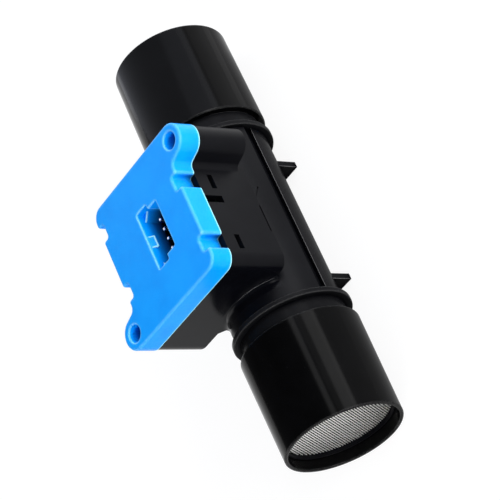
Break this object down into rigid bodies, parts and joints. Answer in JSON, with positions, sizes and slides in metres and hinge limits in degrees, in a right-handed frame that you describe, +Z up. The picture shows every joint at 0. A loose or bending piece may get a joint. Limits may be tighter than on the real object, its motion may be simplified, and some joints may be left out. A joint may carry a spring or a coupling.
{
  "type": "gas flow sensor",
  "caption": "Gas flow sensor: black measuring tube with a cone port and wire screen at each end, and a circuit board boxed on top under a blue clip-on cover with ears and a pin header.",
  "frame": {"origin": "on the ground below the middle of the tube, halfway between the two feet", "axes": "+X along the tube towards the outlet port, +Z up through the cover, +Y across the tube, towards the long wall that the connector's pin row is nearer to"},
  "size_m": [0.0832, 0.0326, 0.0343],
  "materials": {
    "body_black": "satin moulded black plastic",
    "port_black": "smooth black plastic with a soft gloss",
    "screen_wire": "woven stainless wire cloth",
    "cover_blue": "satin moulded azure plastic",
    "seal_rubber": "dull soft rubber",
    "board_laminate": "glass-fibre laminate under solder resist",
    "header_plastic": "dull black moulding",
    "pin_metal": "bright tinned brass",
    "die_silicon": "polished silicon",
    "chip_resin": "dull moulded resin",
    "chip_ceramic": "fired ceramic with tinned ends",
    "screw_steel": "zinc plated steel"
  },
  "bodies": {
    "root": {"flow_tube": "body_black", "sensor_housing": "body_black", "inlet_port": "port_black", "outlet_port": "port_black", "inlet_screen_ring": "port_black", "outlet_screen_ring": "port_black", "inlet_screen": "screen_wire", "outlet_screen": "screen_wire", "cover": "cover_blue", "inlet_seal": "seal_rubber", "outlet_seal": "seal_rubber", "blade_gasket": "seal_rubber", "circuit_board": "board_laminate", "sensor_blade": "board_laminate", "header_base": "header_plastic", "header_pins": "pin_metal", "sensing_die": "die_silicon", "microcontroller": "chip_resin", "signal_amplifier": "chip_resin", "voltage_regulator": "chip_resin", "bond_cap": "chip_resin", "ceramic_capacitors": "chip_ceramic", "chip_resistors": "chip_ceramic", "board_screws": "screw_steel"}
  },
  "joints": []
}
